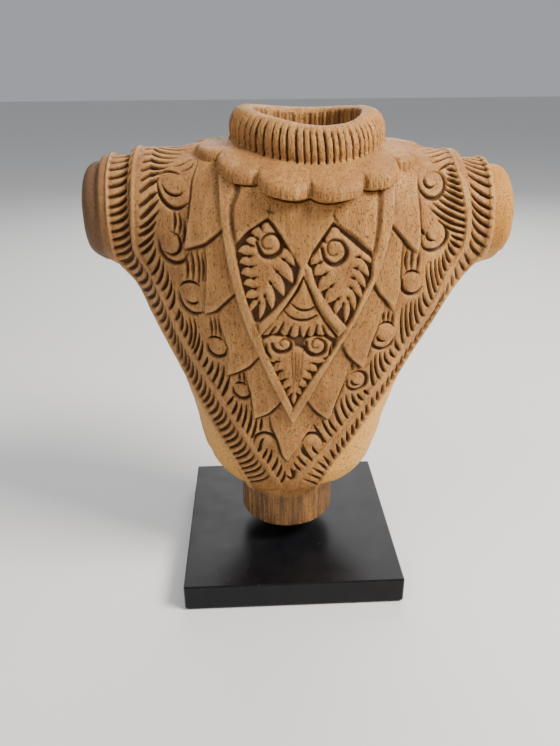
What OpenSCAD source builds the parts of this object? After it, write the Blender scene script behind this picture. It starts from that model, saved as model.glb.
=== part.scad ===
// Carved wooden puppet torso standing on a square black display base.
// Origin: centre of the felt's underside. +X is the torso's left arm side, -Y its front, +Z up.

/* [Display base] */
// Side of the square plate
plate_side = 100; // [90:1:130]
// Thickness of the plate
plate_t = 12; // [12:0.5:18]
// Bevel on the plate's edges
plate_bevel = 0.6; // [0.3:0.1:1]
// Thickness of the felt under the plate
felt_t = 1.2; // [0.8:0.1:2]
// Distance from the plate's edge to the felt's edge
felt_inset = 2.5; // [1:0.5:6]

/* [Support pin] */
// Radius of the steel pin
pin_r = 4; // [3:0.5:5]
// Length of the pin inside the torso
pin_grip = 50; // [35:1:60]
// Gap between the plate and the underside of the torso's tenon
tenon_gap = 10; // [6:0.5:14]
// Radial running clearance around the pin
pin_play = 0.06; // [0.03:0.01:0.1]
// Wood left between the pin's hole and the washer's recess
web_t = 2; // [1.5:0.5:3]

/* [Screw] */
// Radius of the screw's shank
screw_r = 2; // [1.5:0.5:2.5]
// Length of the shank inside the pin
screw_grip = 9; // [7:1:12]
// Radius of the washer
washer_r = 6.5; // [6:0.5:8]
// Thickness of the washer
washer_t = 1; // [0.8:0.1:1.2]

/* [Torso] */
// Half depth of the torso at chest height
chest_half_depth = 39; // [35:1:42]
// Radius of the arm stubs
stub_r = 20; // [18:0.5:21]
// End of the right arm stub, to the viewer's left of the centre
stub_end_low_x = -81.3; // [-90:0.1:-80]
// End of the left arm stub, to the viewer's right of the centre
stub_end_high_x = 90.3; // [88:0.1:98]
// Rounding of the stubs' outer edges
stub_round = 5; // [2:0.5:7]
// Radius of the tenon under the belly
tenon_r = 22.6; // [20:0.1:24]
// Thickness of each carved layer over the one beneath
layer_t = 1.2; // [0.8:0.1:1.6]

/* [Neck] */
// Distance of the neck's centre from the plate's centre
neck_x = 8.3; // [6:0.1:9]
// Radius of the neck ring at its fullest
ring_r = 32.2; // [30:0.1:33]
// Radius of the opening in the neck ring
socket_r = 21; // [18:0.5:22]
// Depth of the neck opening below the ring's top
socket_depth = 34; // [20:1:40]
// Radius of the scalloped yoke
yoke_r = 45.5; // [42:0.5:46]
// Number of scallops around the yoke
scallops = 14; // [10:1:16]

/* [Hidden] */
$fn = 96;

plate_top = felt_t + plate_t;
recess_r = washer_r + 1;
recess_h = plate_t - web_t - 6;
recess_top = felt_t + recess_h;
pin_seat = recess_top + web_t;
pin_tip = plate_top + tenon_gap + pin_grip;
head_r = screw_r * 2;
head_h = screw_r * 1.1;
tip_round = 1;

// Heights from here on are above the plate's top.
arm_z = 155.7;
tenon_top = 42;
yoke_mid_z = 180;
yoke_drape = 7;
yoke_edge_h = 4;
ring_low_z = 179;
ring_top_z = 198;
section_power = 2.3;
section_points = 44;

// Trunk sections: height, half width, half depth as a share of the chest's, centre in x
TRUNK = [
    [28.5, 22, 0.42, 0],
    [30.5, 32, 0.56, 1],
    [35, 36.5, 0.66, 1],
    [43, 40, 0.72, 1],
    [85, 51, 0.86, 2],
    [122, 65.5, 0.98, 4.5],
    [136, 68, 1, 4.5],
    [150, 68, 1, 4.5],
    [162, 64, 0.98, 5],
    [171, 56, 0.9, 5.5],
    [176, 49, 0.78, 6.5],
    [179, 40, 0.64, 7],
];

// Outlines seen from the front, x and height: the feathered apron, its inner panel and the bib
APRON = [
    [-74, 200], [-73, 150], [-64, 132], [-54, 102], [-45, 87], [-22, 42], [-8, 31], [5, 31],
    [14, 40], [45, 88], [56, 104], [68, 130], [79, 150], [80, 200],
];
PANEL = [
    [-62, 200], [-61, 148], [-48, 122], [-30, 84], [-10, 47], [0, 37], [10, 49], [30, 80],
    [50, 112], [66, 146], [69, 152], [69, 200],
];
BIB = [
    [-27, 176], [-25, 160], [-21, 134], [-15, 112], [-6, 88], [0, 75], [8, 88], [20, 110],
    [30, 133], [36, 160], [38, 176],
];

// One point of a rounded-rectangle section
function section_point(half_w, half_d, angle) = [
    half_w * sign(cos(angle)) * pow(abs(cos(angle)), 2 / section_power),
    half_d * sign(sin(angle)) * pow(abs(sin(angle)), 2 / section_power),
];

// Skin through all the trunk's sections, each made larger by grow
module trunk(grow) {
    n = section_points;
    rows = len(TRUNK);
    rings = [
        for (s = TRUNK)
            for (i = [0:n - 1])
                let (p = section_point(s[1] + grow, s[2] * chest_half_depth + grow, 360 * i / n))
                [p[0] + s[3], p[1], s[0]]
    ];
    sides = [
        for (r = [0:rows - 2])
            for (i = [0:n - 1])
                let (a = r * n + i, b = r * n + (i + 1) % n)
                each [[a, a + n, b], [b, a + n, b + n]]
    ];
    bottom = [[for (i = [0:n - 1]) i]];
    top = [[for (i = [n - 1:-1:0]) (rows - 1) * n + i]];
    polyhedron(points = rings, faces = concat(sides, bottom, top));
}

// Bar along X with rounded end edges
module arm_bar(x_low, x_high, r, z, edge) {
    length = x_high - x_low;
    arc = [for (a = [0:15:90]) [r - edge + edge * sin(a), edge - edge * cos(a)]];
    arc_top = [for (a = [90:-15:0]) [r - edge + edge * sin(a), length - edge + edge * cos(a)]];
    translate([x_low, 0, z])
        rotate([0, 90, 0])
            rotate_extrude()
                polygon(concat([[0, 0]], arc, arc_top, [[0, length]]));
}

// Plate seen from the front, used to trim a layer to its outline
module outline_block(points) {
    rotate([90, 0, 0])
        linear_extrude(height = 140, center = true)
            polygon(points);
}

// Feathered apron over the shoulders, front and back
module apron() {
    intersection() {
        union() {
            trunk(layer_t);
            arm_bar(APRON[0][0], APRON[len(APRON) - 1][0], stub_r + 2, arm_z + 2.2, 1);
        }
        outline_block(APRON);
    }
}

// Scroll-carved panel inside the apron
module panel() {
    intersection() {
        union() {
            trunk(layer_t * 1.8);
            arm_bar(PANEL[0][0], PANEL[len(PANEL) - 1][0], stub_r + 4, arm_z + 3.2, 1);
        }
        outline_block(PANEL);
    }
}

// Pointed bib under the yoke, front and back
module bib() {
    intersection() {
        trunk(layer_t * 2.8);
        outline_block(BIB);
    }
}

// Height of the yoke's outer edge: low at the front and back, high over the shoulders
function yoke_edge_z(angle) = yoke_mid_z - yoke_drape * cos(2 * angle);

// Scalloped yoke draped around the neck
module yoke() {
    n = scallops * 6;
    inner_r = ring_r - 2;
    rings = [
        for (i = [0:n - 1])
            let (
                a = 360 * i / n,
                edge_r = yoke_r - 3 + 3 * sqrt(abs(sin(a * scallops / 2))),
                edge_z = yoke_edge_z(a),
                out = [sin(a), -cos(a)],
                section = [
                    [inner_r, ring_low_z + 4], [edge_r, edge_z],
                    [edge_r - 0.5, edge_z - yoke_edge_h], [inner_r, edge_z - yoke_edge_h - 4],
                ]
            )
            each [for (p = section) [p[0] * out[0], p[0] * out[1], p[1]]]
    ];
    faces = [
        for (i = [0:n - 1])
            for (k = [0:3])
                let (a = i * 4 + k, b = i * 4 + (k + 1) % 4, c = (a + 4) % (n * 4), d = (b + 4) % (n * 4))
                each [[a, c, b], [b, c, d]]
    ];
    translate([neck_x, 0, 0])
        polyhedron(points = rings, faces = faces);
}

// Bulging ring around the neck opening
module neck_ring() {
    mid_z = ring_low_z + 9;
    bulge = [for (a = [-60:15:75]) [ring_r - 8 + 8 * cos(a), mid_z + 9.5 * sin(a)]];
    translate([neck_x, 0, 0])
        rotate_extrude()
            polygon(concat([[socket_r - 2, ring_low_z - 4], [ring_r - 4, ring_low_z - 4]], bulge,
                [[socket_r + 2, ring_top_z], [socket_r, ring_top_z - 1.5], [socket_r - 2, ring_top_z - 6]]));
}

module carved_torso() {
    color("peru")
        translate([0, 0, plate_top])
            difference() {
                union() {
                    trunk(0);
                    arm_bar(stub_end_low_x, stub_end_high_x, stub_r, arm_z, stub_round);
                    apron();
                    panel();
                    bib();
                    yoke();
                    neck_ring();
                    translate([0, 0, tenon_gap])
                        cylinder(r = tenon_r, h = tenon_top - tenon_gap);
                }
                translate([neck_x, 0, ring_top_z - socket_depth])
                    cylinder(r = socket_r, h = socket_depth + 5);
                translate([0, 0, tenon_gap - 5])
                    cylinder(r = pin_r + pin_play, h = pin_grip + 5);
            }
}

module support_pin() {
    color("dimgray")
        difference() {
            translate([0, 0, pin_seat])
                rotate_extrude()
                    polygon([
                        [0, 0], [pin_r, 0], [pin_r, pin_tip - pin_seat - tip_round],
                        [pin_r - tip_round, pin_tip - pin_seat], [0, pin_tip - pin_seat],
                    ]);
            translate([0, 0, pin_seat - 1])
                cylinder(r = screw_r + pin_play, h = screw_grip + 2, $fn = 48);
        }
}

module pin_screw() {
    head_low = recess_top - washer_t - head_h;
    color("silver")
        difference() {
            union() {
                translate([0, 0, head_low])
                    cylinder(r = head_r, h = head_h, $fn = 64);
                translate([0, 0, head_low])
                    cylinder(r = screw_r, h = pin_seat + screw_grip - head_low, $fn = 48);
            }
            translate([0, 0, head_low - 1])
                cylinder(r = screw_r * 0.6, h = 1 + head_h / 2, $fn = 6);
        }
}

module screw_washer() {
    color("silver")
        translate([0, 0, recess_top - washer_t])
            difference() {
                cylinder(r = washer_r, h = washer_t, $fn = 64);
                translate([0, 0, -1])
                    cylinder(r = screw_r + pin_play, h = washer_t + 2, $fn = 48);
            }
}

module base_plate() {
    half = plate_side / 2;
    profile = [
        [-half + plate_bevel, -half], [half - plate_bevel, -half], [half, -half + plate_bevel],
        [half, half - plate_bevel], [half - plate_bevel, half], [-half + plate_bevel, half],
        [-half, half - plate_bevel], [-half, -half + plate_bevel],
    ];
    edge_cut = plate_bevel * 2;
    color([0.03, 0.03, 0.03])
        difference() {
            translate([0, 0, felt_t])
                linear_extrude(height = plate_t)
                    polygon(profile);
            for (side = [0:90:270])
                rotate([0, 0, side])
                    translate([half, 0, plate_top])
                        rotate([0, 45, 0])
                            cube([edge_cut / sqrt(2), plate_side * 2, edge_cut / sqrt(2)], center = true);
            translate([0, 0, pin_seat])
                cylinder(r = pin_r + pin_play, h = plate_t);
            translate([0, 0, recess_top - 1])
                cylinder(r = screw_r + 0.2, h = plate_t, $fn = 48);
            translate([0, 0, felt_t - 1])
                cylinder(r = recess_r, h = recess_h + 1);
        }
}

module base_felt() {
    side = plate_side - 2 * felt_inset;
    color("darkgreen")
        translate([-side / 2, -side / 2, 0])
            cube([side, side, felt_t]);
}

carved_torso();
support_pin();
pin_screw();
screw_washer();
base_plate();
base_felt();
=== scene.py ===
import math

import bpy
import numpy as np
from mathutils import Matrix, Vector


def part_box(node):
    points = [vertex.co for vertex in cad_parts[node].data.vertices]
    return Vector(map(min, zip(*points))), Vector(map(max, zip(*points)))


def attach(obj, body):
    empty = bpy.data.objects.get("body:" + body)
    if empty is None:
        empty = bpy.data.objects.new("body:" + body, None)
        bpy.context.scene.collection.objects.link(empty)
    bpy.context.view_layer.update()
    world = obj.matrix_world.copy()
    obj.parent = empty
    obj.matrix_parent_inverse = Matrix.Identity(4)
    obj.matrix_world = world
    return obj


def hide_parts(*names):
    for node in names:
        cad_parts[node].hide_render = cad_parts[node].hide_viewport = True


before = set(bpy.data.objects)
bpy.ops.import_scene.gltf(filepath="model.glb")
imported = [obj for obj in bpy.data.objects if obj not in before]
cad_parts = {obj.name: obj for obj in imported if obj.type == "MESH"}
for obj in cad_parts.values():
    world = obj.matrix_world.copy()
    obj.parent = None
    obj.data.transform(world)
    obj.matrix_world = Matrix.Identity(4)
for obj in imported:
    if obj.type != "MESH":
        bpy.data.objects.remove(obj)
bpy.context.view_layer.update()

# The carving is worked out in millimetres, with its heights measured from the base plate's top
MM = 0.001
PLATE_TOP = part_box("base_plate")[1][2] / MM
# Height of the stubs' axis, and the neck's axis in x
ARM_Z = 155.7
NECK_X = 7.7
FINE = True


# ---------------------------------------------------------------- small helpers

def smin(a, b, k):
    """Smaller of two values, blended over a width k."""
    h = np.clip(0.5 + 0.5 * (b - a) / k, 0, 1)
    return b * (1 - h) + a * h - k * h * (1 - h)


def smax(a, b, k):
    """Larger of two values, blended over a width k."""
    return -smin(-a, -b, k)


def ramp(value, low, high):
    """Smooth step from 0 at low to 1 at high."""
    t = np.clip((value - low) / (high - low), 0, 1)
    return t * t * (3 - 2 * t)


def monotone(xs, ys, grid):
    """Monotone cubic through (xs, ys), sampled on grid."""
    d = np.diff(ys) / np.diff(xs)
    m = np.zeros_like(ys)
    both = d[:-1] * d[1:] > 0
    m[1:-1] = np.where(both, 2 * d[:-1] * d[1:] / (d[:-1] + d[1:] + 1e-12), 0)
    m[0], m[-1] = d[0], d[-1]
    i = np.clip(np.searchsorted(xs, grid) - 1, 0, len(xs) - 2)
    h = xs[i + 1] - xs[i]
    t = np.clip((grid - xs[i]) / h, 0, 1)
    return (
        (2 * t**3 - 3 * t**2 + 1) * ys[i] + (t**3 - 2 * t**2 + t) * h * m[i]
        + (-2 * t**3 + 3 * t**2) * ys[i + 1] + (t**3 - t**2) * h * m[i + 1]
    )


def smooth_path(points, step=0.6):
    """Catmull-Rom curve through the points."""
    p = np.array(points, float)
    if len(p) < 3:
        n = max(2, int(np.linalg.norm(p[-1] - p[0]) / step) + 1)
        return p[0] + (p[-1] - p[0]) * np.linspace(0, 1, n)[:, None]
    q = np.vstack([2 * p[0] - p[1], p, 2 * p[-1] - p[-2]])
    out = []
    for k in range(len(p) - 1):
        a, b, c, d = q[k : k + 4]
        n = max(2, int(np.linalg.norm(c - b) / step))
        t = np.arange(n)[:, None] / n
        out.append(0.5 * (2 * b + (c - a) * t + (2 * a - 5 * b + 4 * c - d) * t**2
                          + (3 * b - a - 3 * c + d) * t**3))
    out.append(p[-1:])
    return np.vstack(out)


# ---------------------------------------------------------------- the block's shape

SECTIONS = np.array([
    # height, half width, half depth, centre x
    [28, 15, 14, -0.5],
    [30, 25.5, 20, 0.5],
    [33, 32.5, 24, 1],
    [37, 36, 26, 1],
    [43, 39.5, 28, 1],
    [64, 44.5, 31.5, 1.5],
    [85, 51, 34, 2],
    [122, 66, 38, 4.5],
    [134, 69.5, 39, 5],
    [150, 68, 39, 4.5],
    [162, 63, 38, 5],
    [171, 56, 35, 5.5],
    [177, 48, 30.5, 6.5],
    [181, 38, 25, 7],
])
SECTION_POWER = 2.3
TRUNK_LOW, TRUNK_TOP = 28.5, 180.5
HEIGHTS = np.arange(SECTIONS[0, 0], SECTIONS[-1, 0] + 0.01, 0.25)
HALF_W, HALF_D, CENTRE = [monotone(SECTIONS[:, 0], SECTIONS[:, k], HEIGHTS) for k in (1, 2, 3)]


def trunk(x, y, z):
    """Distance to the tapering trunk, from its sections."""
    a = np.interp(z, HEIGHTS, HALF_W)
    b = np.interp(z, HEIGHTS, HALF_D)
    c = np.interp(z, HEIGHTS, CENTRE)
    r = ((np.abs(x - c) / a) ** SECTION_POWER + (np.abs(y) / b) ** SECTION_POWER) ** (1 / SECTION_POWER)
    d = (r - 1) * np.minimum(a, b) * 0.92
    return smax(smax(d, z - TRUNK_TOP, 4), TRUNK_LOW - z, 3)


def bar(x, y, z, low, high, radius, axis_z, edge):
    """Cylinder along X with rounded end edges."""
    q = np.sqrt(y * y + (z - axis_z) ** 2) - radius + edge
    e = np.abs(x - (low + high) / 2) - (high - low) / 2 + edge
    out = np.sqrt(np.maximum(q, 0) ** 2 + np.maximum(e, 0) ** 2)
    return out + np.minimum(np.maximum(q, e), 0) - edge


def neck_polar(x, y):
    """Radius and angle round the neck's axis."""
    dx = x - NECK_X
    return np.sqrt(dx * dx + y * y) + 1e-9, np.arctan2(dx, -y)


# Where the yoke's scallops meet: degrees round the neck, 0 at the front and 90 on the +X side
NOTCHES = [-87, -58, -31, -3, 26, 50, 78, 104, 130, 155, 180, 205, 228, 250, 273]
# Yoke, neck ring and socket: radii are from the neck's axis
YOKE_R = 45.4
YOKE_ROOT_R = 30
YOKE_TOP_Z = 182.3
YOKE_EDGE_Z = 179.6
SCALLOP_DEPTH = 5.8
RING_R = 24.6
RING_Z = 186.2
RING_HALF_WIDTH = 6.6
RING_HALF_HEIGHT = 8.3
RING_POWER = 2.1
SOCKET_R = 21.1
SOCKET_FLOOR = 164.0
# The round tenon under the waist, and the bore in it
TENON_X = -0.9
TENON_R = 22.2
TENON_FOOT = 10.4
TENON_TOP = 45
BORE_R = 4.3
BORE_TOP = 60.2
# Ends in x, and radius, of the plain stubs and of the two raised bands round them
STUBS = (-81.3, 90.3, 20.0)
OUTER_BAND = (-74.0, 80.0, 21.4)
INNER_BAND = (-62.0, 69.0, 23.2)
# The chest's plan at the shoulders, which the carving is wrapped over
CHEST_X = 4.6
CHEST_HALF_WIDTH = 67.0
CHEST_HALF_DEPTH = 39.0
SHOULDER_HALF_DEPTH = 22.5


def lean(x, z):
    """The shoulders, yoke and ring sit a little lower on the +X side."""
    return z + (x - 4.5) * 0.021


def scallop(ang):
    """0 where two scallops of the yoke meet, 1 at a scallop's middle."""
    turn = (np.degrees(ang) - NOTCHES[0]) % 360 + NOTCHES[0]
    return np.abs(np.sin(np.pi * np.interp(turn, NOTCHES, np.arange(len(NOTCHES))))) ** 0.5


def yoke(x, y, z):
    """Distance to the scalloped collar that drapes over the shoulders."""
    r, ang = neck_polar(x, y)
    c2 = np.cos(2 * ang)
    bulge = scallop(ang)
    edge_z = YOKE_EDGE_Z - 6.0 * c2 - 2.0 * bulge
    edge_r = YOKE_R - SCALLOP_DEPTH * (1 - bulge)
    t = np.clip((r - YOKE_ROOT_R) / (edge_r - YOKE_ROOT_R), 0, 1.2)
    base_z = YOKE_TOP_Z - 3.2 * c2
    top = base_z + (edge_z - base_z) * (t * 0.75 + 0.25 * t * t)
    low = edge_z - 4.2 - 3 * (1 - t)
    return np.maximum(smax((z - top) * 0.95, r - edge_r, 2.6), (low - z) * 0.9)


def ring_height(ang):
    """Middle height of the neck ring, which dips at the front."""
    front = np.maximum(np.cos(ang - 0.4), 0) ** 3
    return RING_Z - 1.3 * np.cos(2 * ang) + 1.2 * (1 - np.cos(ang)) - 2.0 * front


def ring(x, y, z):
    """Distance to the rounded neck ring."""
    r, ang = neck_polar(x, y)
    q = np.abs(r - RING_R) / RING_HALF_WIDTH
    w = np.abs(z - ring_height(ang)) / RING_HALF_HEIGHT
    return ((q**RING_POWER + w**RING_POWER) ** (1 / RING_POWER) - 1) * RING_HALF_WIDTH


def pocket(x, y, z):
    """Distance to the open neck socket's hollow."""
    dx = x - NECK_X
    r = np.sqrt(dx * dx + (y * 1.06) ** 2)
    return smax(r - SOCKET_R, SOCKET_FLOOR - z, 3)


def tenon(x, y, z):
    r = np.sqrt((x - TENON_X) ** 2 + y * y)
    return smax(smax(r - TENON_R, TENON_FOOT - z, 1.2), z - TENON_TOP, 1)


def pin_bore(x, y, z):
    return np.maximum(np.sqrt(x * x + y * y) - BORE_R, z - BORE_TOP)


def block(x, y, z):
    """Signed distance, roughly, to the smooth block before it is carved."""
    za = lean(x, z)
    stubs = bar(x, y, za, *STUBS, ARM_Z, 5.5)
    band = bar(x, y, za, *OUTER_BAND, ARM_Z + 1.0, 1.0)
    inner = bar(x, y, za, *INNER_BAND, ARM_Z + 2.2, 1.2)
    shoulder = np.minimum(np.minimum(stubs, band), inner)
    body = np.minimum(smin(trunk(x, y, z), shoulder, 12.0), shoulder)
    body = smin(body, tenon(x, y, z), 1.5)
    d = smin(body, yoke(x, y, za), 0.8)
    d = smin(d, ring(x, y, za), 1.2)
    d = smax(d, -pocket(x, y, z), 1.0)
    return np.maximum(d, -pin_bore(x, y, z))


def slope(p, h=0.05):
    """Field value and unit gradient at the points p."""
    x, y, z = p.T
    f = block(x, y, z)
    g = np.stack([
        block(x + h, y, z) - block(x - h, y, z),
        block(x, y + h, z) - block(x, y - h, z),
        block(x, y, z + h) - block(x, y, z - h),
    ], 1) / (2 * h)
    size = np.linalg.norm(g, axis=1) + 1e-9
    return f, g / size[:, None], size


def settle(p, rounds, cap):
    """Moves points onto the block's surface."""
    for _ in range(rounds):
        f, n, size = slope(p)
        p = p - n * np.clip(f / np.maximum(size, 0.3), -cap, cap)[:, None]
    return p


def front_depth(x):
    """Half depth of the chest at x, which sets how far the carving runs over the shoulder."""
    t = np.clip(np.abs(x - CHEST_X) / CHEST_HALF_WIDTH, 0, 1)
    arch = CHEST_HALF_DEPTH * (1 - t**SECTION_POWER) ** (1 / SECTION_POWER)
    return np.maximum(arch, SHOULDER_HALF_DEPTH)


def unroll(x, y, z):
    """Height coordinate of the carving: up the front, then over the shoulder."""
    phi = np.arctan2(z - ARM_Z, np.maximum(np.abs(y), 1e-6))
    return np.where(z > ARM_Z, ARM_Z + front_depth(x) * phi, z)


# ---------------------------------------------------------------- the carving's height map

# A grid over x and the unrolled height: the ground's level, what is cut into it and what stands on it
CELL = 0.2
X_LOW, X_HIGH, V_LOW, V_HIGH = -92.0, 100.0, 22.0, 206.0
XS = np.arange(X_LOW, X_HIGH, CELL)
VS = np.arange(V_LOW, V_HIGH, CELL)
level = np.zeros((len(VS), len(XS)), np.float32)
cuts = np.zeros_like(level)
ridges = np.zeros_like(level)


def window(low, high):
    """Rows and columns of the grid between two corners."""
    i0, i1 = np.clip(((low[0] - X_LOW) / CELL, (high[0] - X_LOW) / CELL + 2), 0, len(XS)).astype(int)
    j0, j1 = np.clip(((low[1] - V_LOW) / CELL, (high[1] - V_LOW) / CELL + 2), 0, len(VS)).astype(int)
    return slice(j0, j1), slice(i0, i1)


def stroke(target, path, widths, depths, power=1.6):
    """Draws a tapering groove or ridge; widths and depths run from the path's start to its end."""
    n = len(path) - 1
    w = np.interp(np.linspace(0, 1, n + 1), np.linspace(0, 1, len(widths)), widths)
    d = np.interp(np.linspace(0, 1, n + 1), np.linspace(0, 1, len(depths)), depths)
    for k in range(n):
        p, q = path[k], path[k + 1]
        reach = max(w[k], w[k + 1])
        win = window(np.minimum(p, q) - reach, np.maximum(p, q) + reach)
        gx = XS[win[1]][None, :]
        gv = VS[win[0]][:, None]
        e = q - p
        t = np.clip(((gx - p[0]) * e[0] + (gv - p[1]) * e[1]) / (e @ e + 1e-9), 0, 1)
        dist = np.hypot(gx - p[0] - t * e[0], gv - p[1] - t * e[1])
        u = np.clip(1 - dist / (w[k] + (w[k + 1] - w[k]) * t), 0, 1)
        value = (d[k] + (d[k + 1] - d[k]) * t) * u**power
        target[win] = np.maximum(target[win], value)


def inside(points, margin=2.0):
    """Window and signed distance (positive inside) to a closed outline."""
    p = np.array(points, float)
    win = window(p.min(0) - margin, p.max(0) + margin)
    gx = XS[win[1]][None, :] + 0 * VS[win[0]][:, None]
    gv = VS[win[0]][:, None] + 0 * gx
    dist = np.full(gx.shape, 1e9)
    odd = np.zeros(gx.shape, bool)
    for a, b in zip(p, np.roll(p, -1, 0)):
        e = b - a
        t = np.clip(((gx - a[0]) * e[0] + (gv - a[1]) * e[1]) / (e @ e + 1e-12), 0, 1)
        dist = np.minimum(dist, np.hypot(gx - a[0] - t * e[0], gv - a[1] - t * e[1]))
        if a[1] != b[1]:
            side = (a[1] > gv) != (b[1] > gv)
            odd ^= side & (gx < (b[0] - a[0]) * (gv - a[1]) / (b[1] - a[1]) + a[0])
    return win, np.where(odd, dist, -dist)


def set_area(points, height, wall=0.5):
    """Brings an area to one level."""
    win, dist = inside(points)
    t = ramp(dist, -wall / 2, wall / 2)
    level[win] = level[win] * (1 - t) + height * t


def at_v(path, v):
    """x of a guide line at height v; the guides run from the shoulder down to the tip."""
    p = np.array(path)
    return np.interp(v, p[::-1, 1], p[::-1, 0])


# Guide lines of the carving: (x, unrolled height), from the shoulder down
RIM_L = [
    (-70.7, 206), (-70.7, 145), (-69.5, 139.5), (-66, 133), (-60.5, 123), (-55.5, 112), (-51, 103),
    (-45.5, 90.5), (-41, 80.5), (-35.7, 69), (-30, 57), (-25.3, 47.5), (-21, 37), (-18, 27),
]
BAND_L = [
    (-69.5, 206), (-69.5, 146), (-68.3, 140), (-64.5, 133.5), (-59, 123), (-54, 112), (-49, 102),
    (-44, 90), (-39, 80.5), (-34, 69), (-28, 57), (-23.5, 47.5), (-19, 38), (-16, 28),
]
STRIP_LO = [
    (-60, 206), (-60, 192), (-60.8, 165), (-61.8, 150), (-61.3, 146), (-59.5, 142), (-55, 134),
    (-51, 124), (-47, 112), (-40, 97), (-30.3, 80.6), (-20.2, 62.2), (-14.5, 52.5), (-10, 44),
    (-5.7, 32.8), (-4, 27),
]
STRIP_LI = [
    (-58.8, 206), (-58.8, 192), (-59.5, 165), (-60.4, 150), (-59.7, 146), (-57.6, 141.5), (-52.8, 134),
    (-48.4, 124), (-44.4, 112), (-37.4, 97), (-27.7, 80.6), (-17.7, 62.2), (-12, 52.5), (-7.6, 44),
    (-3.6, 35.4), (-2.4, 30),
]
RIM_R = [
    (80.6, 206), (80.6, 184), (80.4, 146), (79.3, 141), (75.4, 136.7), (73.2, 133), (67.6, 126.7),
    (62.6, 120), (59.4, 113.3), (56.6, 108.3), (51.6, 100), (48.3, 94.4), (45.5, 88.9), (41.6, 82.2),
    (36.1, 74.4), (31.6, 67.8), (26.6, 60.6), (21.6, 52.8), (17.4, 46), (14.6, 39), (12.9, 35.5),
    (10, 27),
]
BAND_R = [(x - 1.4 if v < 140 else x - 2.4, v) for x, v in RIM_R]
STRIP_RI = [
    (64.3, 206), (64.3, 180), (65.2, 170), (67.4, 160), (67.9, 150), (67.4, 145), (64.9, 140),
    (61.6, 135), (59.6, 130), (57.9, 125), (54.9, 120), (48, 110), (42.4, 100), (36.3, 90), (28.6, 80),
    (21.3, 70), (14.7, 60), (11.3, 55), (7.1, 50), (2.7, 45), (0.4, 40), (-1.2, 35), (-2, 29),
]
STRIP_RO = [
    (67.5, 206), (67.5, 192), (68.2, 170), (69.9, 160), (70.4, 150), (69.9, 145), (66.5, 139.5),
    (64.9, 135), (62.7, 130), (60.4, 125), (58.6, 120), (52.4, 110), (46.3, 100), (40.5, 90), (33, 80),
    (26.3, 70), (19.1, 60), (14.7, 55), (10.4, 50), (7.1, 45), (3.8, 40), (2.1, 35), (0.6, 27),
]
BIB_OUT_L = [
    (-26.6, 186), (-26.6, 168.7), (-25.9, 156.6), (-24.1, 142.3), (-21.3, 129.4), (-18.4, 119.4),
    (-14.9, 109.4), (-10.6, 98), (-5.6, 85.9), (0.1, 73),
]
BIB_OUT_R = [
    (38.4, 186), (38, 176), (36.9, 165.1), (36.2, 156.6), (34.4, 148), (31.6, 138), (27.3, 128),
    (22.3, 117.3), (17.3, 107.3), (12.3, 98), (8, 88.7), (3.7, 80.1), (0.1, 73),
]
BIB_IN_L = [
    (-19.6, 186), (-20.2, 172.3), (-22.7, 164.4), (-22.7, 158), (-21.6, 150.9), (-20.9, 145.9),
    (-19.1, 136.6), (-17.4, 129.4), (-14.9, 121.6), (-13.1, 115.9), (-11.3, 109.4), (-7.7, 100.1),
    (-4.1, 91.6), (-0.2, 81.6),
]
BIB_IN_R = [
    (32, 186), (31.9, 170.1), (31.6, 160.1), (30.5, 149.4), (29.4, 145.1), (29.1, 138), (25.9, 131.6),
    (23, 123), (20.1, 117.3), (16.6, 110.1), (11.6, 102.3), (8.7, 97.3), (5.1, 90.9), (0.1, 80.1),
]

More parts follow.
